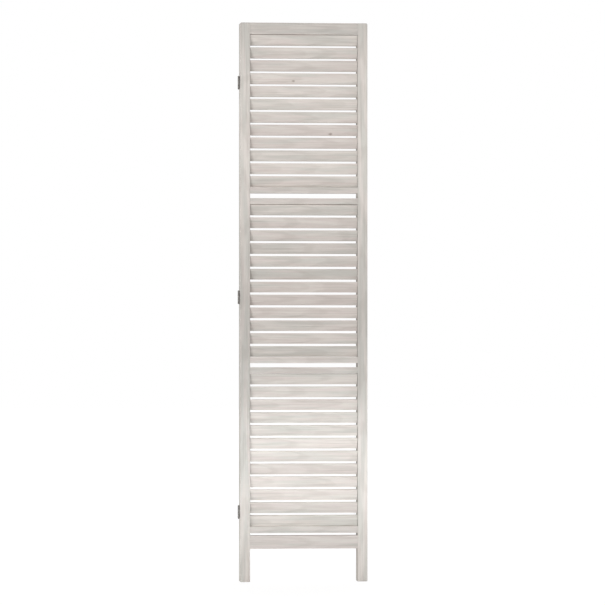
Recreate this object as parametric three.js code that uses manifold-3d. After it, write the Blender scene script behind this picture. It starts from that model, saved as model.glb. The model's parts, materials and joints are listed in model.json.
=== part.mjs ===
// A folding room divider of two wooden panels, hinged along one edge and drawn folded flat.
// Each panel is a ladder of stiles and rails round three sections of slats that turn on end pins.
// Millimetres. +Z is up, +X runs along the panel away from the hinges, and -Y is the front.
// The origin is on the floor, under the middle of the folded divider.

import * as THREE from "three";
import { mergeVertices } from "three/addons/utils/BufferGeometryUtils.js";
import Module from "manifold-3d";

const wasm = await Module();
wasm.setup();

// ---------------------------------------------------------------------------
// Driving dimensions
// ---------------------------------------------------------------------------

// Frame of one panel
const PANEL_HEIGHT = 1700;
const PANEL_WIDTH = 389;
const FRAME_THICKNESS = 20;
const STILE_WIDTH = 30;
const LEG_HEIGHT = 100.6;
const BOTTOM_RAIL_HEIGHT = 39.6;
const FOOT_SLOT = 8;
const FOOT_SILL_HEIGHT = 20.4;
const THIN_RAIL_HEIGHT = 18.6;
const LOWER_SLOT = 12.8;
const UPPER_SLOT = 15.1;
const TOP_RAIL_HEIGHT = 35.2;
const ARRIS_RADIUS = 1.2;
const TOP_CORNER_RADIUS = 4.5;
const FOOT_CORNER_RADIUS = 3;
const INNER_CORNER_RADIUS = 1.6;

// Stub tenons that hold the rails in the stiles
const TENON_LENGTH = 14;
const TENON_THICKNESS = 8;
const TENON_SHOULDER = 4;
const TENON_CLEARANCE = 0.3;

// Slats. Their width follows from the panel's height, so that they fill the three sections.
const SLATS_PER_SECTION = 12;
const SLAT_THICKNESS = 5;
const SLAT_SPACING = 5.8;
const SLAT_EDGE_RADIUS = 1.2;
const SLAT_END_CLEARANCE = 0.6;
const SLAT_TURNING_CLEARANCE = 0.3;
const SLAT_TILT_DEGREES = 20;

// Pivot pins of the slats
const PIVOT_RADIUS = 1.75;
const PIVOT_DEPTH = 8;
const PIVOT_CLEARANCE = 0.3;

// Room that a turning front slat leaves to the tilted rear slats, and least room between the frames
const SLAT_SWEEP_CLEARANCE = 1.5;
const LEAST_PANEL_GAP = 2;

// Hinges
const LOW_HINGE_HEIGHT = 212;
const TOP_HINGE_DROP = 182;
const LEAF_HEIGHT = 32;
const LEAF_WIDTH = 16;
const LEAF_THICKNESS = 1.5;
const KNUCKLE_COUNT = 5;
const BARREL_RADIUS = 2.8;
const BARREL_STANDOFF = 0.2;
const HINGE_PIN_RADIUS = 1.3;
const HINGE_CLEARANCE = 0.3;
const FINIAL_HEIGHT = 5;
const FINIAL_RADIUS = 3.05;
const FINIAL_NECK_RADIUS = 2.2;
const FINIAL_NECK_HEIGHT = 0.6;
const SCREW_HOLE_RADIUS = 1.6;
const COUNTERSINK_RADIUS = 3;
const SCREW_EDGE_DISTANCE = 7;

// Facets round the turned parts
const PIVOT_SIDES = 6;
const BARREL_SIDES = 10;
const SCREW_HOLE_SIDES = 6;
const ARRIS_SEGMENTS = 2;

// Rounds of working out the slats' width, of which each brings it some hundred times nearer
const WIDTH_ROUNDS = 4;

// ---------------------------------------------------------------------------
// Sizes that follow from the driving dimensions
// ---------------------------------------------------------------------------

const SECTIONS = [
  { name: "lower", slotBelow: FOOT_SLOT, sillHeight: FOOT_SILL_HEIGHT, headHeight: THIN_RAIL_HEIGHT },
  { name: "middle", slotBelow: LOWER_SLOT, sillHeight: THIN_RAIL_HEIGHT, headHeight: THIN_RAIL_HEIGHT },
  { name: "upper", slotBelow: UPPER_SLOT, sillHeight: THIN_RAIL_HEIGHT, headHeight: TOP_RAIL_HEIGHT },
];

const OPENING_WIDTH = PANEL_WIDTH - 2 * STILE_WIDTH;
const SLAT_LENGTH = OPENING_WIDTH - 2 * SLAT_END_CLEARANCE;
const SLAT_TILT = THREE.MathUtils.degToRad(SLAT_TILT_DEGREES);
const SECTION_HEIGHT = sectionHeight();
const SLAT_WIDTH = slatWidth();
const SLAT_PITCH = SLAT_WIDTH + SLAT_SPACING;
const SLAT_TURNING_RADIUS = turningRadius(SLAT_WIDTH);
const SLAT_MARGIN = SLAT_TURNING_RADIUS + SLAT_TURNING_CLEARANCE;
const BARREL_OFFSET = BARREL_RADIUS + BARREL_STANDOFF;
const HINGE_REACH = BARREL_OFFSET + Math.max(BARREL_RADIUS, FINIAL_RADIUS);
const HINGE_EDGE_X = (HINGE_REACH - PANEL_WIDTH) / 2;
const PANEL_GAP = panelGap();
const PANEL_CENTRE_Y = (PANEL_GAP + FRAME_THICKNESS) / 2;

// Height of each section's opening: what legs, rails and slots leave of the panel, shared equally.
function sectionHeight() {
  let left = PANEL_HEIGHT - LEG_HEIGHT - BOTTOM_RAIL_HEIGHT;
  for (const { slotBelow, sillHeight, headHeight } of SECTIONS) {
    left -= slotBelow + sillHeight + headHeight;
  }
  return left / SECTIONS.length;
}

// How far a slat's rounded corner reaches from the slat's axis.
function turningRadius(width) {
  const upward = width / 2 - SLAT_EDGE_RADIUS;
  const outward = SLAT_THICKNESS / 2 - SLAT_EDGE_RADIUS;
  return Math.hypot(upward, outward) + SLAT_EDGE_RADIUS;
}

// The slat width with which a section's slats just fill its opening. A corner reaches a little
// further than half the width, so the width is worked out again with the last one's own reach.
function slatWidth() {
  const forOneSlat = (SECTION_HEIGHT + SLAT_SPACING - 2 * SLAT_TURNING_CLEARANCE) / SLATS_PER_SECTION;
  let width = forOneSlat - SLAT_SPACING;
  for (let round = 0; round < WIDTH_ROUNDS; round += 1) {
    const pastHalfWidth = turningRadius(width) - width / 2;
    width = forOneSlat - SLAT_SPACING - (2 * pastHalfWidth) / SLATS_PER_SECTION;
  }
  return width;
}

// The gap in which a front slat can turn all round behind its frame, past the tilted rear slats.
function panelGap() {
  const along = (SLAT_WIDTH / 2 - SLAT_EDGE_RADIUS) * Math.sin(SLAT_TILT);
  const through = (SLAT_THICKNESS / 2 - SLAT_EDGE_RADIUS) * Math.cos(SLAT_TILT);
  const rearSlatReach = along + through + SLAT_EDGE_RADIUS;
  const sweep = SLAT_TURNING_RADIUS + rearSlatReach + SLAT_SWEEP_CLEARANCE;
  return Math.max(LEAST_PANEL_GAP, sweep - FRAME_THICKNESS);
}

// Climbs one panel from the floor and notes each rail's place and each slat's axis.
function layOutPanel() {
  const rails = [];
  const slatAxes = [];
  let height = LEG_HEIGHT;

  function placeRail(name, railHeight) {
    rails.push({ name, height: railHeight, centre: height + railHeight / 2 });
    height += railHeight;
  }

  placeRail("bottom_rail", BOTTOM_RAIL_HEIGHT);
  for (const section of SECTIONS) {
    height += section.slotBelow;
    placeRail(`${section.name}_section_sill`, section.sillHeight);
    for (let row = 0; row < SLATS_PER_SECTION; row += 1) {
      slatAxes.push(height + SLAT_MARGIN + row * SLAT_PITCH);
    }
    height += SECTION_HEIGHT;
    const isTop = section === SECTIONS.at(-1);
    placeRail(isTop ? "top_rail" : `${section.name}_section_head`, section.headHeight);
  }
  return { rails, slatAxes: slatAxes.reverse() };
}

const LAYOUT = layOutPanel();
const TOP_HINGE_HEIGHT = PANEL_HEIGHT - TOP_HINGE_DROP;
const HINGES = [
  { name: "top", height: TOP_HINGE_HEIGHT },
  { name: "middle", height: (TOP_HINGE_HEIGHT + LOW_HINGE_HEIGHT) / 2 },
  { name: "low", height: LOW_HINGE_HEIGHT },
];

// ---------------------------------------------------------------------------
// Materials
// ---------------------------------------------------------------------------

const frameWood = new THREE.MeshStandardMaterial({ color: 0xc9bfb5, roughness: 0.72, metalness: 0 });
const slatWood = new THREE.MeshStandardMaterial({ color: 0xd0c6bc, roughness: 0.74, metalness: 0 });
const hingeSteel = new THREE.MeshStandardMaterial({ color: 0x6d6b68, roughness: 0.38, metalness: 0.9 });

// ---------------------------------------------------------------------------
// Solids: geometry to manifold and back, joins and cuts
// ---------------------------------------------------------------------------

function toSolid(geometry) {
  const bare = geometry.clone();
  bare.deleteAttribute("normal");
  bare.deleteAttribute("uv");
  const merged = mergeVertices(bare);
  return new wasm.Manifold(
    new wasm.Mesh({
      numProp: 3,
      vertProperties: new Float32Array(merged.attributes.position.array),
      triVerts: new Uint32Array(merged.index.array),
    }),
  );
}

function toGeometry(solid) {
  const mesh = solid.getMesh();
  const indexed = new THREE.BufferGeometry();
  indexed.setAttribute("position", new THREE.BufferAttribute(mesh.vertProperties, 3));
  indexed.setIndex(new THREE.BufferAttribute(mesh.triVerts, 1));
  const geometry = indexed.toNonIndexed();
  geometry.computeVertexNormals();
  return geometry;
}

// Joins the first list of geometries and cuts the second list out of them.
function carve(joined, cutters) {
  const body = wasm.Manifold.union(joined.map(toSolid));
  if (cutters.length === 0) {
    return toGeometry(body);
  }
  return toGeometry(body.subtract(wasm.Manifold.union(cutters.map(toSolid))));
}

// ---------------------------------------------------------------------------
// Profiles and basic forms
// ---------------------------------------------------------------------------

// A rectangle about the origin with its own radius at each corner, drawn counter-clockwise.
function roundedRectangle(width, height, radii) {
  const right = width / 2;
  const top = height / 2;
  const shape = new THREE.Shape();
  const { lowerLeft, lowerRight, upperRight, upperLeft } = radii;
  shape.absarc(-right + lowerLeft, -top + lowerLeft, lowerLeft, Math.PI, 1.5 * Math.PI);
  shape.absarc(right - lowerRight, -top + lowerRight, lowerRight, 1.5 * Math.PI, 2 * Math.PI);
  shape.absarc(right - upperRight, top - upperRight, upperRight, 0, 0.5 * Math.PI);
  shape.absarc(-right + upperLeft, top - upperLeft, upperLeft, 0.5 * Math.PI, Math.PI);
  return shape;
}

function evenRadii(radius) {
  return { lowerLeft: radius, lowerRight: radius, upperRight: radius, upperLeft: radius };
}

// A bar along X, centred on the origin, whose section is a rounded rectangle in Y and Z.
function bar(length, thickness, height, edgeRadius) {
  const section = roundedRectangle(thickness, height, evenRadii(edgeRadius));
  const geometry = new THREE.ExtrudeGeometry(section, {
    depth: length,
    bevelEnabled: false,
    curveSegments: 1,
  });
  geometry.translate(0, 0, -length / 2);
  geometry.applyMatrix4(
    new THREE.Matrix4().makeBasis(
      new THREE.Vector3(0, 1, 0),
      new THREE.Vector3(0, 0, 1),
      new THREE.Vector3(1, 0, 0),
    ),
  );
  return geometry;
}

// The corner radius of a faceted hole whose flats leave this radius free.
function holeRadius(freeRadius, sides) {
  return freeRadius / Math.cos(Math.PI / sides);
}

// A rod along X that starts at x and runs on for length.
function rodAlongX(x, length, radius, sides) {
  const geometry = new THREE.CylinderGeometry(radius, radius, length, sides);
  geometry.rotateZ(Math.PI / 2);
  geometry.translate(x + length / 2, 0, 0);
  return geometry;
}

// ---------------------------------------------------------------------------
// Pieces of a panel. X runs from the hinge edge to the free edge and Y is centred on the frame.
// ---------------------------------------------------------------------------

// A blank stile: outline in X and Z with rounded corners, and rounded arrises all round.
function stileBlank(hingeSide) {
  const outerTop = TOP_CORNER_RADIUS;
  const outerFoot = FOOT_CORNER_RADIUS;
  const inner = INNER_CORNER_RADIUS;
  const outline = roundedRectangle(STILE_WIDTH, PANEL_HEIGHT, {
    lowerLeft: hingeSide ? outerFoot : inner,
    lowerRight: hingeSide ? inner : outerFoot,
    upperRight: hingeSide ? inner : outerTop,
    upperLeft: hingeSide ? outerTop : inner,
  });
  const geometry = new THREE.ExtrudeGeometry(outline, {
    depth: FRAME_THICKNESS - 2 * ARRIS_RADIUS,
    bevelEnabled: true,
    bevelThickness: ARRIS_RADIUS,
    bevelSize: ARRIS_RADIUS,
    bevelOffset: -ARRIS_RADIUS,
    bevelSegments: ARRIS_SEGMENTS,
    curveSegments: 2,
  });
  geometry.translate(0, 0, ARRIS_RADIUS - FRAME_THICKNESS / 2);
  geometry.rotateX(Math.PI / 2);
  const centreX = hingeSide ? STILE_WIDTH / 2 : PANEL_WIDTH - STILE_WIDTH / 2;
  geometry.translate(centreX, 0, PANEL_HEIGHT / 2);
  return geometry;
}

// The mortises in one stile's inner side, one for each rail.
function mortises(hingeSide) {
  const depth = TENON_LENGTH + TENON_CLEARANCE;
  const innerFace = hingeSide ? STILE_WIDTH : PANEL_WIDTH - STILE_WIDTH;
  const centreX = innerFace + (hingeSide ? -depth / 2 : depth / 2);
  return LAYOUT.rails.map((rail) => {
    const height = rail.height - 2 * TENON_SHOULDER + 2 * TENON_CLEARANCE;
    const pocket = new THREE.BoxGeometry(depth, TENON_THICKNESS + 2 * TENON_CLEARANCE, height);
    pocket.translate(centreX, 0, rail.centre);
    return pocket;
  });
}

// The blind bores in one stile's inner side, one for each slat's pin.
function pivotBores(hingeSide) {
  const depth = PIVOT_DEPTH + PIVOT_CLEARANCE;
  const start = hingeSide ? STILE_WIDTH - depth : PANEL_WIDTH - STILE_WIDTH;
  const radius = holeRadius(PIVOT_RADIUS + PIVOT_CLEARANCE, PIVOT_SIDES);
  return LAYOUT.slatAxes.map((axisHeight) => {
    const bore = rodAlongX(start, depth, radius, PIVOT_SIDES);
    bore.translate(0, 0, axisHeight);
    return bore;
  });
}

function stile(hingeSide) {
  return carve([stileBlank(hingeSide)], [...mortises(hingeSide), ...pivotBores(hingeSide)]);
}

// A rail centred on its own middle, with a stub tenon at each end.
function rail(height) {
  const body = bar(OPENING_WIDTH, FRAME_THICKNESS, height, ARRIS_RADIUS);
  const tenon = new THREE.BoxGeometry(
    OPENING_WIDTH + 2 * TENON_LENGTH,
    TENON_THICKNESS,
    height - 2 * TENON_SHOULDER,
  );
  return carve([body, tenon], []);
}

// A slat centred on its own axis, upright, with a pivot pin through it that stands out at both ends.
function slatForms() {
  const board = bar(SLAT_LENGTH, SLAT_THICKNESS, SLAT_WIDTH, SLAT_EDGE_RADIUS);
  const pinLength = OPENING_WIDTH + 2 * PIVOT_DEPTH;
  const pin = rodAlongX(-pinLength / 2, pinLength, PIVOT_RADIUS, PIVOT_SIDES);
  return [board, pin];
}

// The free stile of the rear panel with every slat of that panel set on it by its pin.
function stileWithSlats(tilt) {
  const forms = [stileBlank(false)];
  for (const axisHeight of LAYOUT.slatAxes) {
    for (const form of slatForms()) {
      form.rotateX(tilt);
      form.translate(PANEL_WIDTH / 2, 0, axisHeight);
      forms.push(form);
    }
  }
  return carve(forms, mortises(false));
}

// ---------------------------------------------------------------------------
// Hinges. Z is the pin, and each leaf lies on a stile's edge at x from the pin, along +Y or -Y.
// ---------------------------------------------------------------------------

const KNUCKLE_PITCH = LEAF_HEIGHT / KNUCKLE_COUNT;

// The span in Z of one knuckle, counted from the bottom, with half the running gap off each inner end.
function knuckleSpan(index) {
  const start = -LEAF_HEIGHT / 2 + index * KNUCKLE_PITCH;
  const gap = HINGE_CLEARANCE / 2;
  return {
    bottom: index === 0 ? start : start + gap,
    top: index === KNUCKLE_COUNT - 1 ? start + KNUCKLE_PITCH : start + KNUCKLE_PITCH - gap,
  };
}

function lathe(points, sides) {
  const profile = points.map(([radius, height]) => new THREE.Vector2(radius, height));
  const geometry = new THREE.LatheGeometry(profile, sides);
  geometry.rotateX(Math.PI / 2);
  return geometry;
}

// A turned head from its neck to its crown, as pairs of radius and distance from the knuckle.
function finialProfile() {
  const crownHeight = FINIAL_RADIUS * (1 - Math.SQRT1_2);
  return [
    [FINIAL_NECK_RADIUS, 0],
    [FINIAL_NECK_RADIUS, FINIAL_NECK_HEIGHT],
    [FINIAL_RADIUS, 2 * FINIAL_NECK_HEIGHT],
    [FINIAL_RADIUS, FINIAL_HEIGHT - 2 * crownHeight],
    [FINIAL_RADIUS * Math.SQRT1_2, FINIAL_HEIGHT - crownHeight],
    [0, FINIAL_HEIGHT],
  ];
}

// The pin, its two turned heads and the knuckles of the front leaf, in one turned profile.
function frontBarrel() {
  const halfHeight = LEAF_HEIGHT / 2;
  const head = finialProfile();
  const points = [...head].reverse().map(([radius, rise]) => [radius, -halfHeight - rise]);
  for (let index = 0; index < KNUCKLE_COUNT; index += 1) {
    const span = knuckleSpan(index);
    const radius = index % 2 === 0 ? BARREL_RADIUS : HINGE_PIN_RADIUS;
    const bottom = index % 2 === 0 ? span.bottom : span.bottom - HINGE_CLEARANCE;
    const top = index % 2 === 0 ? span.top : span.top + HINGE_CLEARANCE;
    points.push([radius, bottom], [radius, top]);
  }
  points.push(...head.map(([radius, rise]) => [radius, halfHeight + rise]));
  return lathe(points, BARREL_SIDES);
}

// A leaf's plate, towards -Y from the pin, notched where the other leaf's knuckles turn.
function leafPlate(ownKnuckle) {
  const near = PANEL_GAP / 2;
  const plate = new THREE.BoxGeometry(LEAF_THICKNESS, LEAF_WIDTH, LEAF_HEIGHT);
  plate.translate(BARREL_OFFSET - LEAF_THICKNESS / 2, -near - LEAF_WIDTH / 2, 0);
  const joined = [plate];
  const cutters = [];
  for (let index = 0; index < KNUCKLE_COUNT; index += 1) {
    const { bottom, top } = knuckleSpan(index);
    if (ownKnuckle(index)) {
      const root = new THREE.BoxGeometry(LEAF_THICKNESS, 2 * near, top - bottom);
      root.translate(BARREL_OFFSET - LEAF_THICKNESS / 2, -near, (top + bottom) / 2);
      joined.push(root);
    } else {
      const reach = BARREL_RADIUS + HINGE_CLEARANCE;
      const notch = new THREE.BoxGeometry(4 * LEAF_THICKNESS, 2 * reach, top - bottom + 2 * HINGE_CLEARANCE);
      notch.translate(BARREL_OFFSET - LEAF_THICKNESS / 2, 0, (top + bottom) / 2);
      cutters.push(notch);
    }
  }
  return { joined, cutters };
}

// The countersunk screw holes through a leaf's plate, from the stile's edge outwards.
function screwHoles() {
  return [-1, 1].map((side) => {
    const hole = lathe(
      [
        [0, -HINGE_CLEARANCE],
        [SCREW_HOLE_RADIUS, -HINGE_CLEARANCE],
        [SCREW_HOLE_RADIUS, LEAF_THICKNESS / 4],
        [COUNTERSINK_RADIUS, LEAF_THICKNESS],
        [COUNTERSINK_RADIUS, LEAF_THICKNESS + HINGE_CLEARANCE],
        [0, LEAF_THICKNESS + HINGE_CLEARANCE],
      ],
      SCREW_HOLE_SIDES,
    );
    hole.rotateY(-Math.PI / 2);
    const y = -PANEL_GAP / 2 - LEAF_WIDTH / 2;
    hole.translate(BARREL_OFFSET, y, side * (LEAF_HEIGHT / 2 - SCREW_EDGE_DISTANCE));
    return hole;
  });
}

function frontLeaf() {
  const { joined, cutters } = leafPlate((index) => index % 2 === 0);
  const plate = carve(joined, [...cutters, ...screwHoles()]);
  return carve([plate, frontBarrel()], []);
}

function rearLeaf() {
  const { joined, cutters } = leafPlate((index) => index % 2 === 1);
  const plate = carve(joined, [...cutters, ...screwHoles()]);
  const knuckles = [];
  for (let index = 1; index < KNUCKLE_COUNT; index += 2) {
    const { bottom, top } = knuckleSpan(index);
    knuckles.push(
      lathe(
        [
          [0, bottom],
          [BARREL_RADIUS, bottom],
          [BARREL_RADIUS, top],
          [0, top],
        ],
        BARREL_SIDES,
      ),
    );
  }
  const boreRadius = holeRadius(HINGE_PIN_RADIUS + HINGE_CLEARANCE, BARREL_SIDES);
  const bore = lathe(
    [
      [0, -LEAF_HEIGHT],
      [boreRadius, -LEAF_HEIGHT],
      [boreRadius, LEAF_HEIGHT],
      [0, LEAF_HEIGHT],
    ],
    BARREL_SIDES,
  );
  const geometry = carve([plate, ...knuckles], [bore]);
  geometry.rotateX(Math.PI);
  return geometry;
}

// ---------------------------------------------------------------------------
// Assembly
// ---------------------------------------------------------------------------

function piece(name, geometry, material) {
  const mesh = new THREE.Mesh(geometry, material);
  mesh.name = name;
  return mesh;
}

function addRails(panel, side) {
  for (const { name, height, centre } of LAYOUT.rails) {
    const mesh = piece(`${side}_${name}`, rail(height), frameWood);
    mesh.position.set(PANEL_WIDTH / 2, 0, centre);
    panel.add(mesh);
  }
}

function frontPanel() {
  const panel = new THREE.Group();
  panel.position.set(HINGE_EDGE_X, -PANEL_CENTRE_Y, 0);
  panel.add(piece("front_hinge_stile", stile(true), frameWood));
  panel.add(piece("front_free_stile", stile(false), frameWood));
  addRails(panel, "front");
  LAYOUT.slatAxes.forEach((axisHeight, index) => {
    const number = String(index + 1).padStart(2, "0");
    const mesh = piece(`front_slat_${number}`, carve(slatForms(), []), slatWood);
    mesh.position.set(PANEL_WIDTH / 2, 0, axisHeight);
    mesh.rotation.x = SLAT_TILT;
    panel.add(mesh);
  });
  return panel;
}

function rearPanel() {
  const panel = new THREE.Group();
  panel.position.set(HINGE_EDGE_X, PANEL_CENTRE_Y, 0);
  panel.add(piece("rear_hinge_stile", stile(true), frameWood));
  panel.add(piece("rear_free_stile_with_slats", stileWithSlats(-SLAT_TILT), frameWood));
  addRails(panel, "rear");
  return panel;
}

function hinge({ name, height }) {
  const group = new THREE.Group();
  group.position.set(HINGE_EDGE_X - BARREL_OFFSET, 0, height);
  group.add(piece(`${name}_hinge_front_leaf`, frontLeaf(), hingeSteel));
  group.add(piece(`${name}_hinge_rear_leaf`, rearLeaf(), hingeSteel));
  return group;
}

const divider = new THREE.Group();
divider.add(frontPanel());
divider.add(rearPanel());
for (const place of HINGES) {
  divider.add(hinge(place));
}

export default divider;
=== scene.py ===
"""Looks of a folding slatted room divider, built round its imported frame.

The two limed wooden panels keep their solids and get grain, board by board. The hinges are
modelled again in finer form, with turned heads, eased leaves and slotted screws. Metres, +Z up,
the front faces -Y and the hinges are on the -X edge.
"""

import json
import logging
import math
from dataclasses import dataclass, field
from enum import Enum
from typing import Any, Iterable, Sequence

import bmesh
import bpy
from mathutils import Matrix, Vector


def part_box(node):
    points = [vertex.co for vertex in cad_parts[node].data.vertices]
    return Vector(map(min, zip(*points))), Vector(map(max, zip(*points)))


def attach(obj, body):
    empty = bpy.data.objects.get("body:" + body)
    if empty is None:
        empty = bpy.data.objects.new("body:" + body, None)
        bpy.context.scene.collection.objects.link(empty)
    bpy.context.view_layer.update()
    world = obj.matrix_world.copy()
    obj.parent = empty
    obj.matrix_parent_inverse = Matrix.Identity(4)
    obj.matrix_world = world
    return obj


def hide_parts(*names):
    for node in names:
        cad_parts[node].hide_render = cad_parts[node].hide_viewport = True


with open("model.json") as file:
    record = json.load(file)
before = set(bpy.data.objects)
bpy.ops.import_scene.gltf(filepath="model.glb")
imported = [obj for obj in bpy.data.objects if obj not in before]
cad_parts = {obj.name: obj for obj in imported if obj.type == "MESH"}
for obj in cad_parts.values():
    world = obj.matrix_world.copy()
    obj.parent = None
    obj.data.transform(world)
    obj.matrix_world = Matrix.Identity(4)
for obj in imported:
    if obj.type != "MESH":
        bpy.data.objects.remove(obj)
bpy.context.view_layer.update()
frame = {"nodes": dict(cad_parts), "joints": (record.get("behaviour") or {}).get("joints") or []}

log = logging.getLogger("divider")

Node = bpy.types.Node
Socket = bpy.types.NodeSocket
BMesh = bmesh.types.BMesh
Colour = tuple[float, float, float]
Operand = "Field | float"

WHITE: Colour = (1.0, 1.0, 1.0)
FULL_TURN = 2 * math.pi
MERGE_DISTANCE = 1e-6
SHARP_ANGLE = math.radians(35)


# === Small helpers ===


def linear(red: int, green: int, blue: int) -> Colour:
    """Turns a display colour of 0 to 255 into the linear colour that shaders take.

    Args:
        red: Display red.
        green: Display green.
        blue: Display blue.

    Returns:
        The linear colour, each part from 0 to 1.
    """

    def one(value: int) -> float:
        """Returns one part of the colour, made linear."""
        part = value / 255
        return part / 12.92 if part <= 0.04045 else ((part + 0.055) / 1.055) ** 2.4

    return one(red), one(green), one(blue)


def rgba(colour: Colour) -> tuple[float, float, float, float]:
    """Returns the colour with full opacity."""
    return (*colour, 1.0)


# === Shader maths ===


class Field:
    """A value that varies over a surface, wrapped so that Python's operators add Math nodes."""

    def __init__(self, tree: "Tree", socket: Socket) -> None:
        """Keeps the tree that the value belongs to and the socket that carries it."""
        self.tree = tree
        self.socket = socket

    def _math(self, operation: str, *operands: Operand) -> "Field":
        """Adds one Math node.

        Args:
            operation: The node's operation.
            operands: The values or fields that it takes, in order.

        Returns:
            The node's result.
        """
        inputs = dict(enumerate(operands))
        node = self.tree.node("ShaderNodeMath", {"operation": operation}, inputs)
        return Field(self.tree, node.outputs[0])

    def __add__(self, other: Operand) -> "Field":
        """Returns self + other."""
        return self._math("ADD", self, other)

    __radd__ = __add__

    def __sub__(self, other: Operand) -> "Field":
        """Returns self - other."""
        return self._math("SUBTRACT", self, other)

    def __rsub__(self, other: Operand) -> "Field":
        """Returns other - self."""
        return self._math("SUBTRACT", other, self)

    def __mul__(self, other: Operand) -> "Field":
        """Returns self * other."""
        return self._math("MULTIPLY", self, other)

    __rmul__ = __mul__

    def __truediv__(self, other: Operand) -> "Field":
        """Returns self / other."""
        return self._math("DIVIDE", self, other)

    def __gt__(self, other: Operand) -> "Field":
        """Returns 1 where self is above other and 0 elsewhere."""
        return self._math("GREATER_THAN", self, other)

    def __lt__(self, other: Operand) -> "Field":
        """Returns 1 where self is below other and 0 elsewhere."""
        return self._math("LESS_THAN", self, other)

    def floor(self) -> "Field":
        """Returns the whole number at or below the value."""
        return self._math("FLOOR", self)

    def absolute(self) -> "Field":
        """Returns the value without its sign."""
        return self._math("ABSOLUTE", self)

    def root(self) -> "Field":
        """Returns the square root."""
        return self._math("SQRT", self)

    def larger(self, other: Operand) -> "Field":
        """Returns the larger of the value and the other one."""
        return self._math("MAXIMUM", self, other)

    def wave(self) -> "Field":
        """Returns a sine of the value, brought to 0 to 1."""
        return self._math("SINE", self) * 0.5 + 0.5

    def rise(self, start: float, end: float) -> "Field":
        """Climbs smoothly from 0 at start to 1 at end.

        Args:
            start: The value that gives 0.
            end: The value that gives 1. It may be below start.

        Returns:
            The smoothed result.
        """
        low, high = min(start, end), max(start, end)
        node = self.tree.node(
            "ShaderNodeMapRange",
            {"interpolation_type": "SMOOTHSTEP"},
            {"Value": self, "From Min": low, "From Max": high},
        )
        result = Field(self.tree, node.outputs["Result"])
        return result if start <= end else 1.0 - result


class Tree:
    """The nodes of one material or world."""

    def __init__(self, owner: bpy.types.Material | bpy.types.World) -> None:
        """Empties the owner's node tree and keeps it."""
        owner.use_nodes = True
        self.nodes = owner.node_tree.nodes
        self.links = owner.node_tree.links
        self.nodes.clear()

    def node(self, kind: str, settings: dict[str, Any], inputs: dict[str | int, Any]) -> Node:
        """Adds a node, sets it up, then fills or links its inputs.

        Args:
            kind: The node's type.
            settings: Attributes to set first, such as a Math node's operation.
            inputs: Values, fields or sockets, by the input's name or number.

        Returns:
            The new node.
        """
        made = self.nodes.new(kind)
        for name, value in settings.items():
            setattr(made, name, value)
        for key, value in inputs.items():
            source = value.socket if isinstance(value, Field) else value
            if isinstance(source, Socket):
                self.links.new(source, made.inputs[key])
            else:
                made.inputs[key].default_value = source
        return made

    def output(self, shader: Node, kind: str = "ShaderNodeOutputMaterial") -> None:
        """Sends a shader to the output of the material, or of the world where kind says so."""
        self.node(kind, {}, {"Surface": shader.outputs[0]})

    def mixed(self, share: Field, first: Node, second: Node) -> Node:
        """Returns a mix of two shaders, where share, 0 to 1, is how much of the second shows."""
        inputs = {0: share, 1: first.outputs[0], 2: second.outputs[0]}
        return self.node("ShaderNodeMixShader", {}, inputs)

    def bump(self, strength: float, depth: float, height: Field) -> Socket:
        """Returns a normal that makes a relief of 0 to 1 look that many metres deep."""
        inputs = {"Strength": strength, "Distance": depth, "Height": height}
        return self.node("ShaderNodeBump", {}, inputs).outputs["Normal"]

    def place(self) -> tuple[Field, Field, Field]:
        """Returns the x, y and z of the point on the object."""
        coordinates = self.node("ShaderNodeTexCoord", {}, {})
        split = self.node("ShaderNodeSeparateXYZ", {}, {0: coordinates.outputs["Object"]})
        return tuple(Field(self, out) for out in split.outputs)

    def vector(self, x: Operand, y: Operand, z: Operand) -> Socket:
        """Returns a vector made of three values or fields."""
        return self.node("ShaderNodeCombineXYZ", {}, {0: x, 1: y, 2: z}).outputs[0]

    def draw(self, number: Field) -> tuple[Field, Field, Field]:
        """Returns three random values of 0 to 1 that depend on a whole number alone."""
        node = self.node("ShaderNodeTexWhiteNoise", {"noise_dimensions": "1D"}, {"W": number})
        split = self.node("ShaderNodeSeparateColor", {}, {0: node.outputs["Color"]})
        return tuple(Field(self, out) for out in split.outputs)

    def seen_directly(self) -> Field:
        """Returns 1 for rays from the camera, off gloss or through glass, and else 0."""
        path = self.node("ShaderNodeLightPath", {}, {})
        names = ("Is Camera Ray", "Is Glossy Ray", "Is Transmission Ray")
        camera, glossy, through = (Field(self, path.outputs[name]) for name in names)
        return camera.larger(glossy).larger(through)

    def blend(self, share: Operand, first: Any, second: Any, mode: str = "MIX") -> Socket:
        """Mixes two colours.

        Args:
            share: How much of the second one shows, 0 to 1.
            first: A colour or a colour socket.
            second: A colour or a colour socket.
            mode: The way they are mixed.

        Returns:
            The mixed colour.
        """
        settings = {"data_type": "RGBA", "blend_type": mode, "clamp_factor": True}
        # A Mix node's colour inputs are its seventh and eighth, its colour output its third.
        first_input, second_input, result = 6, 7, 2
        inputs = {
            0: share,
            first_input: rgba(first) if isinstance(first, tuple) else first,
            second_input: rgba(second) if isinstance(second, tuple) else second,
        }
        return self.node("ShaderNodeMix", settings, inputs).outputs[result]

    def stepped(self, along: Field, edges: Sequence[float], values: Sequence[float]) -> Field:
        """Returns a value that is constant between edges.

        Args:
            along: The field that is compared with the edges.
            edges: Where the value changes, rising.
            values: One more value than there are edges.

        Returns:
            The stepped field.
        """
        result = along * 0.0 + values[0]
        for edge, before, after in zip(edges, values, values[1:]):
            result = result + (along > edge) * (after - before)
        return result


# === Boards: which board a point belongs to, and where on it ===


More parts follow.
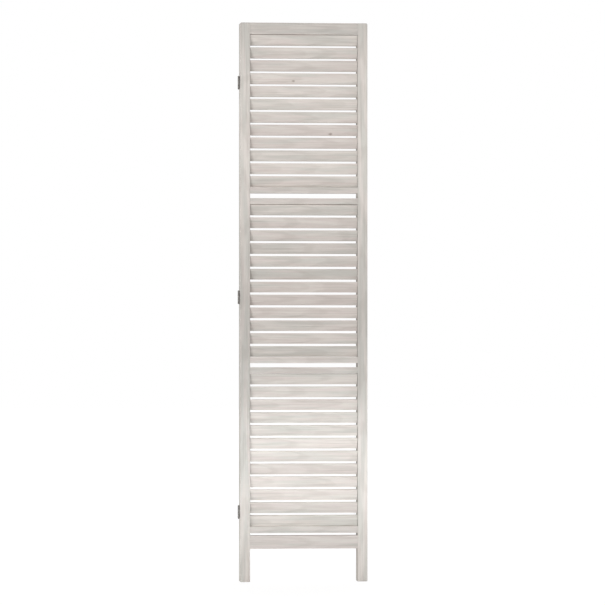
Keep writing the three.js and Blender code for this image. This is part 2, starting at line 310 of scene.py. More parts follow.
@dataclass(frozen=True)
class Grain:
    """One board's own coordinates as fields.

    Attributes:
        number: A whole number that differs from board to board.
        along: Metres along the grain.
        across: Metres across the board, from its middle.
        depth: Metres through the board.
        rim: Metres in from the board's nearer long edge.
    """

    number: Field
    along: Field
    across: Field
    depth: Field
    rim: Field

    def place(self) -> tuple[Field, Field, Field]:
        """Returns the point's place along, across and through the board."""
        return self.along, self.across, self.depth


@dataclass(frozen=True)
class PanelPlan:
    """Where the boards of both panels are, read from the frame.

    Attributes:
        rail_names: The rails of one panel, from the floor up.
        slat_count: The slats of one panel.
        section_count: The slat sections of one panel.
        slat_numbers: The front panel's first slat number, and what the rear panel's add to it.
        rail_numbers: The same for the rails.
        stile_numbers: The same for the stiles, of which the hinge stile is the first.
        end_clearance: Space between the end of a slat's board and the stile.
        slack: How far a point may lie off a face and still belong to it.
    """

    rail_names: tuple[str, ...] = (
        "bottom_rail",
        "lower_section_sill",
        "lower_section_head",
        "middle_section_sill",
        "middle_section_head",
        "upper_section_sill",
        "top_rail",
    )
    slat_count: int = 36
    section_count: int = 3
    slat_numbers: tuple[int, int] = (0, 60)
    rail_numbers: tuple[int, int] = (200, 20)
    stile_numbers: tuple[int, int] = (307, 2)
    end_clearance: float = 0.0006
    slack: float = 0.00005

    @staticmethod
    def middle(node: str, axis: int) -> float:
        """Returns the middle of a node's box along one axis."""
        low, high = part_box(node)
        return (low[axis] + high[axis]) / 2

    @staticmethod
    def half(node: str, axis: int) -> float:
        """Returns half the size of a node's box along one axis."""
        low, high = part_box(node)
        return (high[axis] - low[axis]) / 2

    def rail_heights(self) -> list[float]:
        """Returns the middle height of each rail, from the floor up."""
        return [self.middle(f"front_{name}", 2) for name in self.rail_names]

    def slat_heights(self) -> list[float]:
        """Returns the axis height of each slat, from the floor up."""
        numbers = range(self.slat_count, 0, -1)
        return [self.middle(f"front_slat_{number:02d}", 2) for number in numbers]

    def inner_reach(self) -> float:
        """Returns how far the stiles' inner faces are from the panel's middle."""
        return self.stile_face() - self.middle("front_top_rail", 0)

    def slat_end(self) -> float:
        """Returns how far a slat's board reaches from the panel's middle."""
        return self.inner_reach() - self.end_clearance

    def stile_face(self) -> float:
        """Returns the x of the free stile's inner face."""
        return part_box("front_free_stile")[0].x

    @staticmethod
    def _number(order: Field, y: Field, numbers: tuple[int, int]) -> Field:
        """Returns a board's number, from its order in its panel and from which panel it is in."""
        first, rear_step = numbers
        return order + (y > 0.0) * rear_step + first

    def rail_grain(self, tree: Tree) -> Grain:
        """Returns the coordinates of the rails, which run along X."""
        x, y, z = tree.place()
        heights = self.rail_heights()
        edges = [(low + high) / 2 for low, high in zip(heights, heights[1:])]
        order = tree.stepped(z, edges, list(range(len(heights))))
        number = self._number(order, y, self.rail_numbers)
        across = z - tree.stepped(z, edges, heights)
        halves = [self.half(f"front_{name}", 2) for name in self.rail_names]
        rim = tree.stepped(z, edges, halves) - across.absolute()
        return Grain(number, x, across, y, rim)

    def slat_grain(self, tree: Tree) -> Grain:
        """Returns the coordinates of the slats, which run along X."""
        x, y, z = tree.place()
        heights = self.slat_heights()
        per_section = self.slat_count // self.section_count
        pitch = heights[1] - heights[0]
        edges, shifts = [], [0.0]
        for section in range(1, self.section_count):
            start = section * per_section
            edges.append((heights[start - 1] + heights[start]) / 2)
            shifts.append(heights[start] - heights[0] - start * pitch)
        level = (z - heights[0] - tree.stepped(z, edges, shifts)) / pitch
        row = (level + 0.5).floor()
        number = self._number(row, y, self.slat_numbers)
        across = (level - row) * pitch
        rim = self.half("front_slat_01", 2) - across.absolute()
        return Grain(number, x, across, y, rim)

    def stile_grain(self, tree: Tree) -> Grain:
        """Returns the coordinates of the stiles, which run along Z."""
        x, y, z = tree.place()
        left = self.middle("front_hinge_stile", 0)
        right = self.middle("front_free_stile", 0)
        centre = tree.stepped(x, [(left + right) / 2], [left, right])
        number = self._number(x > 0.0, y, self.stile_numbers)
        across = x - centre
        rim = self.half("front_hinge_stile", 0) - across.absolute()
        return Grain(number, z, across, y, rim)


# === Finishes ===


@dataclass(frozen=True)
class Knot:
    """A small knot on the front panel.

    Attributes:
        x: Its place across the panel.
        z: Its height.
        radius: Half its height on the board.
    """

    x: float
    z: float
    radius: float


@dataclass(frozen=True)
class Figure:
    """One soft pattern of stretched noise.

    Attributes:
        scale: Features to the metre along each axis.
        detail: How many finer layers it has.
        band: The noise at which the pattern starts to show, and at which it shows in full.
        roughness: How strong the finer layers are.
        aside: How far it is moved along the second axis, in features.
    """

    scale: tuple[float, float, float]
    detail: float
    band: tuple[float, float] = (0.0, 1.0)
    roughness: float = 0.5
    aside: float = 0.0

    def noise(self, tree: Tree, at: Sequence[Field], shift: Operand = 0.0) -> Field:
        """Returns the pattern's noise.

        Args:
            tree: The material's nodes.
            at: The point's three coordinates.
            shift: How far the pattern is moved along the first axis, in features.

        Returns:
            Noise of 0 to 1, mostly near 0.5.
        """
        first, second, third = (one * scale for one, scale in zip(at, self.scale))
        inputs = {
            "Vector": tree.vector(first + shift, second + self.aside, third),
            "Scale": 1.0,
            "Detail": self.detail,
            "Roughness": self.roughness,
        }
        node = tree.node("ShaderNodeTexNoise", {"noise_dimensions": "3D"}, inputs)
        return Field(tree, node.outputs["Fac"])

    def mask(
        self, tree: Tree, at: Sequence[Field], shift: Operand = 0.0, bias: Operand = 0.0
    ) -> Field:
        """Returns how strongly the pattern shows, 0 to 1, with bias added to its noise."""
        return (self.noise(tree, at, shift) + bias).rise(*self.band)


@dataclass(frozen=True)
class Rings:
    """Year rings cut at a slant, which draw long arches on a board's face.

    Attributes:
        spacing: Metres between rings.
        heart: Distance of the tree's heart from a board, before the next two are added.
        heart_spread: How much further off it is on some boards than on others.
        slant: How much further off it gets with each metre along the board.
        arch_spread: Metres along the board over which the arches' tips are spread.
        wander: The pattern in which the rings wander.
        sway: Metres over which they wander.
        faint: How high on its wave a ring starts to show.
    """

    spacing: float = 0.0075
    heart: float = 0.014
    heart_spread: float = 0.03
    slant: float = 0.045
    arch_spread: float = 0.3
    wander: Figure = Figure((7.0, 30.0, 12.0), 2.0)
    sway: float = 0.014
    faint: float = 0.45

    def mask(self, tree: Tree, grain: Grain, shift: Field, draw: Field) -> Field:
        """Returns where the rings show.

        Args:
            tree: The material's nodes.
            grain: The boards' own coordinates.
            shift: How far each board's pattern is moved along, in features.
            draw: The board's own random value.

        Returns:
            How strongly they show, 0 to 1.
        """
        along = grain.along - draw * self.arch_spread + self.arch_spread / 2
        heart = self.heart + draw * self.heart_spread + along * self.slant
        wander = (self.wander.noise(tree, grain.place(), shift) - 0.5) * self.sway
        radius = (grain.across * grain.across + heart * heart).root() + wander
        return (radius * (FULL_TURN / self.spacing)).wave().rise(self.faint, 1.0)


@dataclass(frozen=True)
class LimedWood:
    """Light wood rubbed with lime: pale, matt, its grain just showing.

    Attributes:
        cream: The palest ground colour.
        rosy: The pinkish ground colour.
        grey: The greenish grey ground colour.
        streak: The darker colour of the grain.
        knot: The colour of a knot.
        rosy_patches: Where the pinkish ground shows.
        grey_patches: Where the greenish grey ground shows.
        streaks: The long streaks.
        pores: The short pores.
        rings: The year rings.
        board_shift: How far a board's patterns are moved for each whole number.
        board_contrast: How far boards differ in tone.
        dark_share: The share of that contrast that makes boards darker.
        tint_contrast: How far boards differ in tint.
        rail_tone: How bright the rails' wood is against that of the slats.
        stile_tone: Painted shade: how much darker the stiles' wood is painted than the slats',
            which catch more light by their tilt.
        stile_swing: How far that painted shade comes and goes along a stile.
        stile_wave: Metres over which it comes and goes.
        stile_peak: A height at which the stiles are palest.
        hinge_stile_shade: How much darker the hinge stiles are than the free ones.
        seam_painted_light: Painted light: how much paler a board's long edges are painted, which
            lifts the shade in the seams between boards.
        seam_band: How far in from an edge that painted light starts to show, and shows in full.
        inner_shade: Painted shade: how much darker the stiles' inner faces are painted, for the
            shadow in the recess at the slat ends.
        inner_skin: How deep that painted shade goes into a stile.
        streak_strength: How strongly the long streaks show.
        pore_strength: How strongly the short pores show.
        ring_strength: How strongly the year rings show.
        relief: How deep the streaks, the pores and the rings lie in a relief of 0 to 1.
        bump: How strongly that relief tilts the surface, and how many metres deep it is.
        roughness: The roughness at the bottom of the relief.
        smoothing: How much less rough its top is.
        specular: How strongly the surface mirrors.
        knot_outline: The unevenness of a knot's outline.
        knot_squash: What sideways distances are multiplied by at a knot, which lengthens it.
        knot_band: How many radii out a knot starts to show, and shows in full.
        knot_strength: How strongly it shows.
    """

    cream: Colour = linear(220, 214, 208)
    rosy: Colour = linear(216, 207, 202)
    grey: Colour = linear(207, 204, 198)
    streak: Colour = linear(158, 149, 141)
    knot: Colour = linear(126, 110, 98)
    rosy_patches: Figure = Figure((7.0, 95.0, 60.0), 2.5, (0.36, 0.64))
    grey_patches: Figure = Figure((5.5, 66.0, 40.0), 1.5, (0.44, 0.70), aside=9.0)
    streaks: Figure = Figure((4.0, 300.0, 300.0), 3.0, (0.46, 0.74), roughness=0.6)
    pores: Figure = Figure((42.0, 1500.0, 1500.0), 2.0, (0.56, 0.72))
    rings: Rings = Rings()
    board_shift: float = 1.37
    board_contrast: float = 0.13
    dark_share: float = 0.6
    tint_contrast: float = 0.2
    rail_tone: float = 0.90
    stile_tone: float = 0.96
    stile_swing: float = 0.13
    stile_wave: float = 1.36
    stile_peak: float = 1.36
    hinge_stile_shade: float = 0.075
    seam_painted_light: float = 0.24
    seam_band: tuple[float, float] = (0.0018, 0.0006)
    inner_shade: float = 0.28
    inner_skin: float = 0.0003
    streak_strength: float = 0.31
    pore_strength: float = 0.18
    ring_strength: float = 0.14
    relief: tuple[float, float, float] = (0.45, 0.4, 0.15)
    bump: tuple[float, float] = (0.22, 0.0004)
    roughness: float = 0.80
    smoothing: float = 0.14
    specular: float = 0.35
    knot_outline: Figure = Figure((160.0, 60.0, 300.0), 2.0)
    knot_squash: float = 0.6
    knot_band: tuple[float, float] = (1.6, 0.2)
    knot_strength: float = 0.62

    def colour(self, tree: Tree, grain: Grain, brightness: Operand) -> tuple[Socket, Field]:
        """Builds the wood's colour and its relief on one set of boards.

        Args:
            tree: The material's nodes.
            grain: The boards' own coordinates.
            brightness: How bright this set of boards is against the others.

        Returns:
            The colour and a relief of 0 to 1.
        """
        tone, tint, heart = tree.draw(grain.number)
        shift = grain.number * self.board_shift
        streaks = self.streaks.mask(tree, grain.place(), shift)
        pores = self.pores.mask(tree, grain.place(), shift)
        rings = self.rings.mask(tree, grain, shift, heart)

        colour = self._ground(tree, grain, shift, tint)
        colour = tree.blend(streaks * self.streak_strength, colour, self.streak)
        colour = tree.blend(rings * self.ring_strength, colour, self.streak)
        colour = tree.blend(pores * self.pore_strength, colour, self.streak)
        darkest = 1.0 - self.board_contrast * self.dark_share
        level = (tone * self.board_contrast + darkest) * brightness
        colour = tree.blend(1.0, colour, tree.vector(level, level, level), "MULTIPLY")
        relief: Operand = 1.0
        for mask, depth in zip((streaks, pores, rings), self.relief):
            relief = relief - mask * depth
        return colour, relief

    def _ground(self, tree: Tree, grain: Grain, shift: Field, tint: Field) -> Socket:
        """Returns the soft patches of cream, rose and grey under the grain."""
        bias = (tint - 0.5) * self.tint_contrast
        rosy = self.rosy_patches.mask(tree, grain.place(), shift, bias)
        grey = self.grey_patches.mask(tree, grain.place(), shift * -1.0, bias * -1.0)
        return tree.blend(grey, tree.blend(rosy, self.cream, self.rosy), self.grey)

    def knots(self, tree: Tree, colour: Socket, knots: Sequence[Knot]) -> Socket:
        """Darkens a few small knots on the front panel.

        Args:
            tree: The material's nodes.
            colour: The colour that the knots go on.
            knots: Where they are.

        Returns:
            The colour with its knots.
        """
        x, y, z = tree.place()
        front = y < 0.0
        wobble = self.knot_outline.noise(tree, (x, y, z)) - 0.5
        for knot in knots:
            sideways = (x - knot.x) * self.knot_squash
            upwards = z - knot.z
            away = (sideways * sideways + upwards * upwards).root() / knot.radius + wobble
            share = away.rise(*self.knot_band) * front * self.knot_strength
            colour = tree.blend(share, colour, self.knot)
        return colour

    def surface(self, tree: Tree, colour: Socket, relief: Field) -> Node:
        """Adds the wood's shader.

        Args:
            tree: The material's nodes.
            colour: The wood's colour.
            relief: The height of its surface, 0 to 1.

        Returns:
            The Principled BSDF node.
        """
        inputs = {
            "Base Color": colour,
            "Roughness": self.roughness - relief * self.smoothing,
            "Normal": tree.bump(*self.bump, relief),
            "Specular IOR Level": self.specular,
        }
        return tree.node("ShaderNodeBsdfPrincipled", {}, inputs)


@dataclass(frozen=True)
class SatinNickel:
    """Dark satin nickel of the hinges and their screws.

    Attributes:
        name: The material's name.
        colour: Its colour where it is clean.
        worn: Its colour where it has dulled.
        worn_share: How much of that colour the dullest patches have.
        metallic: How far it is a metal.
        roughness: Its mean roughness.
        worn_roughness: How much rougher the dull patches are.
        brush_roughness: How far the brushing changes the roughness.
        patches: The dull patches.
        brushing: The brushing, which runs along the pin.
        bump: How strongly the brushing tilts the surface, and how many metres deep it is.
    """

    name: str = "satin_nickel"
    colour: Colour = linear(134, 131, 127)
    worn: Colour = linear(94, 91, 88)
    worn_share: float = 0.7
    metallic: float = 0.92
    roughness: float = 0.36
    worn_roughness: float = 0.14
    brush_roughness: float = 0.1
    patches: Figure = Figure((300.0, 300.0, 180.0), 3.0, (0.35, 0.7))
    brushing: Figure = Figure((9000.0, 9000.0, 700.0), 2.0)
    bump: tuple[float, float] = (0.08, 0.0001)

    def material(self) -> bpy.types.Material:
        """Returns the material, with its fine brushing and its soft dull patches."""
        material = bpy.data.materials.new(self.name)
        tree = Tree(material)
        dull = self.patches.mask(tree, tree.place())
        brushing = self.brushing.noise(tree, tree.place())
        roughness = self.roughness + dull * self.worn_roughness
        inputs = {
            "Base Color": tree.blend(dull * self.worn_share, self.colour, self.worn),
            "Metallic": self.metallic,
            "Roughness": roughness + (brushing - 0.5) * self.brush_roughness,
            "Normal": tree.bump(*self.bump, brushing),
        }
        tree.output(tree.node("ShaderNodeBsdfPrincipled", {}, inputs))
        return material


# === Panels ===


class Board(Enum):
    """The kinds of board in a panel."""

    STILE = "stile_wood"
    RAIL = "rail_wood"
    SLAT = "slat_wood"
    STILE_WITH_SLATS = "stile_and_slat_wood"


@dataclass
class Panels:
    """The two wooden panels, whose solids stay and are dressed here.

    Attributes:
        plan: Where the boards are.
        wood: The finish of all of them.
        knots: The knots that show on the front.
        pin_colour: The colour of the slats' pivot pins.
        pin_metallic: How far they are metal.
        pin_roughness: Their roughness.
    """

    plan: PanelPlan = field(default_factory=PanelPlan)
    wood: LimedWood = field(default_factory=LimedWood)
    knots: tuple[Knot, ...] = (
        Knot(-0.028, 1.523, 0.0028),
        Knot(0.085, 1.362, 0.0032),
    )
    pin_colour: Colour = linear(120, 117, 113)
    pin_metallic: float = 0.9
    pin_roughness: float = 0.4

    def dress(self, nodes: dict[str, bpy.types.Object]) -> None:
        """Gives every wooden node its material.

        Args:
            nodes: The frame's nodes by name.
        """
        materials = {board: self._material(board) for board in Board}
        for name, node in nodes.items():
            board = self._board(name)
            if board is None:
                continue
            node.data.materials.clear()
            node.data.materials.append(materials[board])
            log.info("dressed %s in %s", name, board.value)

    @staticmethod
    def _board(name: str) -> Board | None:
        """Returns the kind of board that a node is, or None for metal."""
        if name.endswith("stile_with_slats"):
            return Board.STILE_WITH_SLATS
        if name.endswith("stile"):
            return Board.STILE
        if "_slat_" in name:
            return Board.SLAT
        return None if "leaf" in name else Board.RAIL

    def _material(self, board: Board) -> bpy.types.Material:
        """Returns the material of one kind of board."""
        material = bpy.data.materials.new(board.value)
        tree = Tree(material)
        if board is Board.STILE:
            shader = self._stile(tree)
        elif board is Board.RAIL:
            grain = self.plan.rail_grain(tree)
            shader = self._boards_along_x(tree, grain, self.wood.rail_tone)
        elif board is Board.SLAT:
            shader = self._slat(tree)
        else:
            shader = self._stile_with_slats(tree)
        tree.output(shader)
        return material

    def _stile(self, tree: Tree) -> Node:
        """Returns the shader of an upright board, painted darker than the slats and darker still
        on its inner face, as painted shade.
        """
        grain = self.plan.stile_grain(tree)
        wood = self.wood
        # Painted shade: the stiles are painted darker than the slats, more at some heights than at
        # others, where the tilted slats would catch more light.
        turn = (grain.along - wood.stile_peak) * (FULL_TURN / wood.stile_wave)
        tone = (turn + FULL_TURN / 4).wave() * wood.stile_swing
        tone = tone + (wood.stile_tone - wood.stile_swing / 2)
        from_middle = tree.place()[0] - self.plan.middle("front_top_rail", 0)
        tone = tone - (from_middle < 0.0) * wood.hinge_stile_shade
        # Painted shade: the inner faces, in the recess by the slat ends, are painted darker.
        inner = from_middle.absolute() < self.plan.inner_reach() + wood.inner_skin
        colour, relief = wood.colour(tree, grain, tone * (1.0 - inner * wood.inner_shade))
        return wood.surface(tree, colour, relief)

    def _boards_along_x(self, tree: Tree, grain: Grain, tone: float = 1.0) -> Node:
        """Returns the shader of level boards with that grain and tone, their edges painted paler
        to lift the seams' shade.
        """
        wood = self.wood
        # Painted light: the long edges are painted paler to lift the shade in the seams between
        # boards.
        lime = grain.rim.rise(*wood.seam_band) * wood.seam_painted_light
        colour, relief = wood.colour(tree, grain, lime + tone)
        return wood.surface(tree, wood.knots(tree, colour, self.knots), relief)

    def _slat(self, tree: Tree) -> Node:
        """Returns the shader of a slat, with bare steel past the ends of its board."""
        wood = self._boards_along_x(tree, self.plan.slat_grain(tree))
        from_middle = tree.place()[0] - self.plan.middle("front_top_rail", 0)
        beyond = from_middle.absolute() > self.plan.slat_end() + self.plan.slack
        return tree.mixed(beyond, wood, self._pin(tree))

    def _stile_with_slats(self, tree: Tree) -> Node:
        """Returns the shader of the stile and slats that share one solid."""
        slats = self._slat(tree)
        stile = self._stile(tree)
        on_stile = tree.place()[0] > self.plan.stile_face() - self.plan.slack
        return tree.mixed(on_stile, slats, stile)

    def _pin(self, tree: Tree) -> Node:
        """Returns the shader of a slat's steel pin."""
        inputs = {
            "Base Color": rgba(self.pin_colour),
            "Metallic": self.pin_metallic,
            "Roughness": self.pin_roughness,
        }
        return tree.node("ShaderNodeBsdfPrincipled", {}, inputs)


# === Hinges ===


def turned(bm: BMesh, profile: Sequence[tuple[float, float]], steps: int) -> None:
    """Spins a profile of radius and height round Z and adds the closed form.

    Args:
        bm: The mesh that gets the form.
        profile: Pairs of radius and height, from the bottom to the top.
        steps: The facets round it.
    """
    verts = [bm.verts.new((radius, 0.0, height)) for radius, height in profile]
    edges = [bm.edges.new(pair) for pair in zip(verts, verts[1:])]
    bmesh.ops.spin(
        bm,
        geom=verts + edges,
        cent=(0, 0, 0),
        axis=(0, 0, 1),
        angle=FULL_TURN,
        steps=steps,
        use_merge=True,
    )
    bmesh.ops.remove_doubles(bm, verts=bm.verts, dist=MERGE_DISTANCE)


def slab(bm: BMesh, low: Vector, high: Vector, arris: float) -> None:
    """Adds a box between two corners, with its edges broken.

    Args:
        bm: The mesh that gets the box.
        low: Its lowest corner.
        high: Its highest corner.
        arris: How far the edges are bevelled, or 0.
    """
    size = high - low
    matrix = Matrix.Translation((low + high) / 2) @ Matrix.Diagonal((*size, 1.0))
    made = bmesh.ops.create_cube(bm, size=1.0, matrix=matrix)["verts"]
    if arris > 0:
        edges = {edge for vert in made for edge in vert.link_edges}
        bmesh.ops.bevel(
            bm,
            geom=list(edges),
            offset=arris,
            affect="EDGES",
            segments=2,
            profile=0.5,
            material=-1,
        )


def piece(name: str, bm: BMesh, place: Matrix, material: bpy.types.Material) -> bpy.types.Object:
    """Makes an object of a mesh, with its place in the mesh.

    Args:
        name: The piece's name.
        bm: The mesh, which is freed.
        place: Where the mesh goes in the frame.
        material: Its finish.

    Returns:
        The object, at the origin.
    """
    bmesh.ops.transform(bm, matrix=place, verts=bm.verts)
    bmesh.ops.recalc_face_normals(bm, faces=bm.faces)
    mesh = bpy.data.meshes.new(name)
    bm.to_mesh(mesh)
    bm.free()
    mesh.materials.append(material)
    mesh.shade_smooth()
    mesh.set_sharp_from_angle(angle=SHARP_ANGLE)
    made = bpy.data.objects.new(name, mesh)
    bpy.context.scene.collection.objects.link(made)
    return made


@dataclass
class Hinge:
    """One small butt hinge on the panels' left edge, with turned heads on its pin.

    The pin is Z, the stiles' edges are at x = offset, and the front leaf runs towards -Y.

    Attributes:
        name: top, middle or low.
        finish: Its metal.
        leaf_height: Height of the leaves and of all the knuckles.
        leaf_width: Width of a leaf's flat part.
        leaf_thickness: Thickness of the sheet.
        leaf_arris: How far a leaf's edges are broken.
        tongue_lap: How far the sheet of a knuckle laps the flat part.
        knuckles: How many knuckles share the pin.
        barrel_radius: Radius of a knuckle.
        knuckle_ease: How far its ends are eased.
        offset: From the pin's middle to the stile's edge.
        running_gap: Space between neighbouring knuckles.
        head_height: Height of a turned head.
        head_radius: Radius of a turned head.
        neck_radius: Radius of the neck under it.
        screw_inset: From a leaf's end to its screw's middle.
        screw_radius: Radius of a screw's head.
        slot_turn: How far the screws' slots are turned, in degrees.
        round_steps: Facets round a knuckle or a turned head.
        screw_steps: Facets round a screw's head.
    """

    name: str
    finish: bpy.types.Material
    leaf_height: float = 0.032
    leaf_width: float = 0.016
    leaf_thickness: float = 0.0015
    leaf_arris: float = 0.00025
    tongue_lap: float = 0.0004
    knuckles: int = 5
    barrel_radius: float = 0.0028
    knuckle_ease: float = 0.0002
    offset: float = 0.003
    running_gap: float = 0.0003
    head_height: float = 0.005
    head_radius: float = 0.00294
    neck_radius: float = 0.0021
    screw_inset: float = 0.007
    screw_radius: float = 0.0029
    slot_turn: float = 35.0
    round_steps: int = 32
    screw_steps: int = 20

    @staticmethod
    def _inner_edge() -> float:
        """Returns how far a leaf's inner edge and its panel's near face are from the pin."""
        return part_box("rear_hinge_stile")[0].y

    def build(self) -> None:
        """Makes both leaves and their screws and lets them ride on their panels."""
        low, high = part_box(f"{self.name}_hinge_front_leaf")
        pin = Vector(next(j for j in frame["joints"] if j["name"] == "rear_panel_fold")["pos_m"])
        centre = Vector((pin.x, pin.y, (low.z + high.z) / 2))
        front = Matrix.Translation(centre)
        rear = front @ Matrix.Rotation(math.pi, 4, "X")
        self._side("front", front, 0)
        self._side("rear", rear, 1)

    def _side(self, side: str, place: Matrix, first_knuckle: int) -> None:
        """Makes one leaf and its screws.

        Args:
            side: front or rear.
            place: From the hinge's own frame to the divider's.
            first_knuckle: The lowest of the leaf's own knuckles.
        """
        node = f"{self.name}_hinge_{side}_leaf"
        body = f"{side}_panel"
        leaf = piece(f"{node}_fine", self._leaf(first_knuckle), place, self.finish)
        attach(leaf, body)
        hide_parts(node)
        screws = piece(f"{self.name}_hinge_{side}_screws", self._screws(), place, self.finish)
        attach(screws, body)
        log.info("built %s and its screws", node)

    def _span(self, index: int) -> tuple[float, float]:
        """Returns the lowest and highest z of a knuckle, counted from the bottom."""
        pitch = self.leaf_height / self.knuckles
        start = -self.leaf_height / 2 + index * pitch
        gap = self.running_gap / 2
        low = start if index == 0 else start + gap
        high = start + pitch if index == self.knuckles - 1 else start + pitch - gap
        return low, high

    def _leaf(self, first_knuckle: int) -> BMesh:
        """Returns the mesh of one leaf with its knuckles, and with the pin on the front leaf."""
        bm = bmesh.new()
        reach = self.barrel_radius + self.running_gap
        outer = self.offset - self.leaf_thickness
        half = self.leaf_height / 2
        far = self._inner_edge() + self.leaf_width
        flat_low, flat_high = Vector((outer, -far, -half)), Vector((self.offset, -reach, half))
        slab(bm, flat_low, flat_high, self.leaf_arris)
        tongue = -reach - self.tongue_lap
        for index in range(first_knuckle, self.knuckles, 2):
            low, high = self._span(index)
            slab(bm, Vector((outer, tongue, low)), Vector((self.offset, 0.0, high)), 0)
            turned(bm, self._knuckle_profile(low, high), self.round_steps)
        if first_knuckle == 0:
            for sign in (1.0, -1.0):
                turned(bm, self._head_profile(sign), self.round_steps)
        return bm

    def _knuckle_profile(self, low: float, high: float) -> list[tuple[float, float]]:
        """Returns a knuckle's profile, its ends slightly eased."""
        radius, ease = self.barrel_radius, self.knuckle_ease
        return [
            (0.0, low),
            (radius - ease, low),
            (radius, low + ease),
            (radius, high - ease),
            (radius - ease, high),
            (0.0, high),
        ]

    def _head_profile(self, sign: float) -> list[tuple[float, float]]:
        """Returns the profile of the upper turned head for sign 1, and of the lower one for -1."""
        half = self.leaf_height / 2
        ball, neck = self.head_radius, self.neck_radius
        middle = self.head_height - ball
        sunk, neck_top, collar_top, collar_width = -0.0005, 0.0004, 0.0007, 0.0005
        rise = [(0.0, sunk), (neck, sunk), (neck, neck_top), (neck + collar_width, collar_top)]
        for degrees in range(-30, 91, 15):
            turn = math.radians(degrees)
            rise.append((ball * math.cos(turn), middle + ball * math.sin(turn)))
        return [(max(radius, 0.0), sign * (half + height)) for radius, height in rise]

    def _screws(self) -> BMesh:
        """Returns the mesh of a leaf's two slotted screw heads."""
        bm = bmesh.new()
        y = -self._inner_edge() - self.leaf_width / 2
        outer = self.offset - self.leaf_thickness
        for sign in (1.0, -1.0):
            z = sign * (self.leaf_height / 2 - self.screw_inset)
            head = self._screw_head(sign * self.slot_turn)
            out_of_edge = Matrix.Rotation(-math.pi / 2, 4, "Y")
            place = Matrix.Translation((outer, y, z)) @ out_of_edge
            bmesh.ops.transform(head, matrix=place, verts=head.verts)
            copy = bpy.data.meshes.new("screw_head")
            head.to_mesh(copy)
            head.free()
            bm.from_mesh(copy)
            bpy.data.meshes.remove(copy)
        return bm

    def _screw_head(self, turn: float) -> BMesh:
        """Returns one low domed head on z = 0, its straight slot turned by so many degrees."""
        bm = bmesh.new()
        radius = self.screw_radius
        sunk, slot_floor, shoulder = -0.0004, 0.0001, 0.0002
        dome = [(0.0, slot_floor), (radius, slot_floor), (radius, shoulder)]
        dome += [(radius * 0.9, 0.00038), (radius * 0.6, 0.0005), (0.0, 0.00056)]
        turned(bm, dome, self.screw_steps)
        half_slot = 0.00045
        bmesh.ops.bisect_plane(
            bm,
            geom=bm.verts[:] + bm.edges[:] + bm.faces[:],
            plane_co=(0, half_slot, 0),
            plane_no=(0, 1, 0),
            clear_inner=True,
        )
        rim = [edge for edge in bm.edges if edge.is_boundary]
        bmesh.ops.holes_fill(bm, edges=rim, sides=0)
        half = bm.verts[:] + bm.edges[:] + bm.faces[:]
        other = bmesh.ops.duplicate(bm, geom=half)["geom"]
        verts = [item for item in other if isinstance(item, bmesh.types.BMVert)]
        half_round = Matrix.Rotation(math.pi, 3, "Z")
        bmesh.ops.rotate(bm, verts=verts, cent=(0, 0, 0), matrix=half_round)
        base = [(0.0, sunk), (radius, sunk), (radius, slot_floor), (0.0, slot_floor)]
        turned(bm, base, self.screw_steps)
        round_z = Matrix.Rotation(math.radians(turn), 3, "Z")
        bmesh.ops.rotate(bm, verts=bm.verts, cent=(0, 0, 0), matrix=round_z)
        return bm


# === Studio ===


@dataclass(frozen=True)
class SoftLamp:
    """An oblong soft light.

    Attributes:
        name: Its name.
        place: Where it stands.
        aim_height: The height on the divider's middle that it faces.
        size: Its width and its height.
        power: Its power in watts.
        spread: The angle in degrees over which its grid lets light out.
        colour: Its colour.
    """

    name: str
    place: tuple[float, float, float]
    aim_height: float
    size: tuple[float, float]
    power: float
    spread: float = 180.0
    colour: Colour = WHITE

    def build(self) -> None:
        """Makes the lamp, points it and hides it from the camera."""
        data = bpy.data.lights.new(self.name, "AREA")
        data.shape = "RECTANGLE"
        data.size, data.size_y = self.size
        data.energy = self.power
        data.spread = math.radians(self.spread)
        data.color = self.colour
        lamp = bpy.data.objects.new(self.name, data)
        lamp.location = self.place
        aim = Vector((0.0, 0.0, self.aim_height)) - Vector(self.place)
        lamp.rotation_euler = aim.to_track_quat("-Z", "Y").to_euler()
        lamp.visible_camera = False
        bpy.context.scene.collection.objects.link(lamp)
        log.info("lit %s", self.name)


@dataclass(frozen=True)
class Floor:
    """The pale floor, which shows white and keeps the divider's shadow.

    Attributes:
        size: Length of its sides.
        drop: How far it lies under the feet.
        colour: The colour that the light falls on.
        roughness: Its roughness.
        glow: How bright the white is that it shows.
        white_share: How much of what shows near the divider is that white.
        fade: How far from the divider the share starts to grow, and is whole.
    """

    size: float = 60.0
    drop: float = 0.0002
    colour: Colour = (0.87, 0.85, 0.835)
    roughness: float = 0.9
    glow: float = 1.06
    white_share: float = 0.85
    fade: tuple[float, float] = (0.4, 2.0)

    def build(self) -> None:
        """Makes the floor and its material."""
        material = bpy.data.materials.new("floor_white")
        tree = Tree(material)
        inputs = {"Base Color": rgba(self.colour), "Roughness": self.roughness}
        matt = tree.node("ShaderNodeBsdfPrincipled", {}, inputs)
        inputs = {"Color": rgba(WHITE), "Strength": self.glow}
        white = tree.node("ShaderNodeEmission", {}, inputs)
        x, y, _ = tree.place()
        away = (x * x + y * y).root().rise(*self.fade)
        share = tree.seen_directly() * (self.white_share + away * (1.0 - self.white_share))
        tree.output(tree.mixed(share, matt, white))

        bm = bmesh.new()
        bmesh.ops.create_grid(bm, x_segments=1, y_segments=1, size=self.size / 2)
        floor = piece("floor", bm, Matrix.Translation((0.0, 0.0, -self.drop)), material)
        log.info("laid the floor")


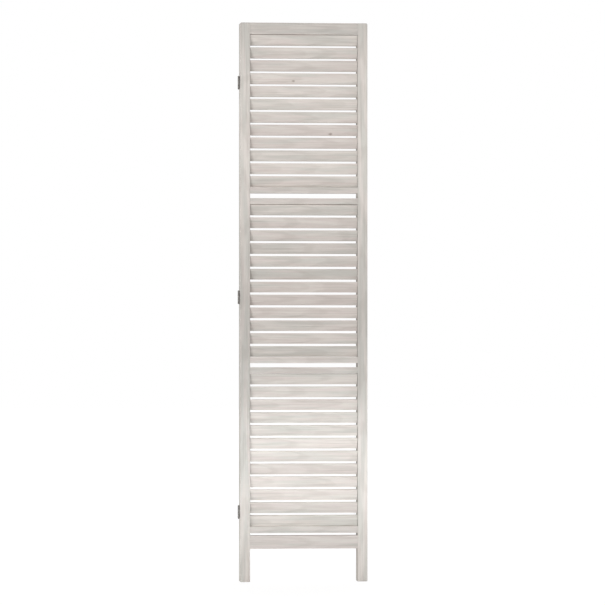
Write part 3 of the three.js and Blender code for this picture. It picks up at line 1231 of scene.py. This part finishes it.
@dataclass
class Studio:
    """The camera, the floor, the lamps and the white surroundings.

    Attributes:
        distance: From the camera to the divider.
        azimuth: How far the camera stands to the side, in degrees. It is to the left below 0.
        camera_height: Height of the lens over the floor.
        millimetres_per_pixel: The photograph's scale at the front of the divider.
        picture_pixels: The photograph's width and height.
        floor_pixel: The row of the photograph where the feet stand.
        centre_pixel: The column of the divider's middle.
        ambient: Strength of the surroundings' light.
        floor: The floor.
        lamps: The soft lights.
        sensor_width: Width of the camera's sensor in millimetres.
        clip_end: How far the camera sees.
    """

    distance: float = 13.0
    azimuth: float = -5.9
    camera_height: float = 0.75
    millimetres_per_pixel: float = 3.0414
    picture_pixels: int = 605
    floor_pixel: float = 581.7
    centre_pixel: float = 302.2
    ambient: float = 0.62
    floor: Floor = Floor()
    lamps: tuple[SoftLamp, ...] = (
        SoftLamp("key_light", (-3.3, -3.3, 0.8), 0.85, (1.8, 1.8), 70.0),
        SoftLamp("low_light", (0.0, -0.9, 0.34), 0.35, (1.2, 0.42), 0.84, 44.0, (0.91, 0.97, 1.0)),
        SoftLamp("upper_light", (0.0, -0.9, 1.36), 1.38, (1.2, 0.4), 0.73, 100.0),
        SoftLamp("back_light", (1.0, 5.0, 2.8), 0.9, (3.0, 3.0), 90.0),
    )
    sensor_width: float = 36.0
    clip_end: float = 200.0

    def build(self) -> None:
        """Makes everything round the divider."""
        scene = bpy.context.scene
        scene.view_settings.view_transform = "Standard"
        self._surroundings(scene)
        self.floor.build()
        for lamp in self.lamps:
            lamp.build()
        self._camera(scene)

    def _camera(self, scene: bpy.types.Scene) -> None:
        """Places the camera so that the divider fills the frame as in the photograph."""
        data = bpy.data.cameras.new("camera")
        data.sensor_width = self.sensor_width
        scale = self.millimetres_per_pixel / 1000
        to_front = self.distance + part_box("front_top_rail")[0].y
        data.lens = self.sensor_width * to_front / (self.picture_pixels * scale)
        data.clip_end = self.clip_end
        camera = bpy.data.objects.new("camera", data)
        scene.collection.objects.link(camera)
        scene.camera = camera
        angle = math.radians(self.azimuth)
        away = Vector((math.sin(angle), -math.cos(angle), 0.0))
        right = Vector((math.cos(angle), math.sin(angle), 0.0))
        half = self.picture_pixels / 2
        aim = right * ((half - self.centre_pixel) * scale)
        aim.z = (self.floor_pixel - half) * scale
        position = away * self.distance + Vector((aim.x, aim.y, self.camera_height))
        camera.location = position
        camera.rotation_euler = (aim - position).to_track_quat("-Z", "Y").to_euler()
        log.info("placed the camera at %s with a %.0f mm lens", tuple(position), data.lens)

    def _surroundings(self, scene: bpy.types.Scene) -> None:
        """Makes a world that is white to look at and lights the divider softly."""
        world = bpy.data.worlds.new("studio")
        scene.world = world
        tree = Tree(world)
        glow, white = (
            tree.node("ShaderNodeBackground", {}, {"Color": rgba(WHITE), "Strength": strength})
            for strength in (self.ambient, 1.0)
        )
        tree.output(tree.mixed(tree.seen_directly(), glow, white), "ShaderNodeOutputWorld")


def main() -> None:
    """Builds the divider's looks and the studio round it."""
    logging.basicConfig(level=logging.INFO, format="%(name)s: %(message)s")
    Panels().dress(frame["nodes"])
    metal = SatinNickel().material()
    for name in ("top", "middle", "low"):
        Hinge(name, metal).build()
    Studio().build()


if __name__ == "__main__":
    main()
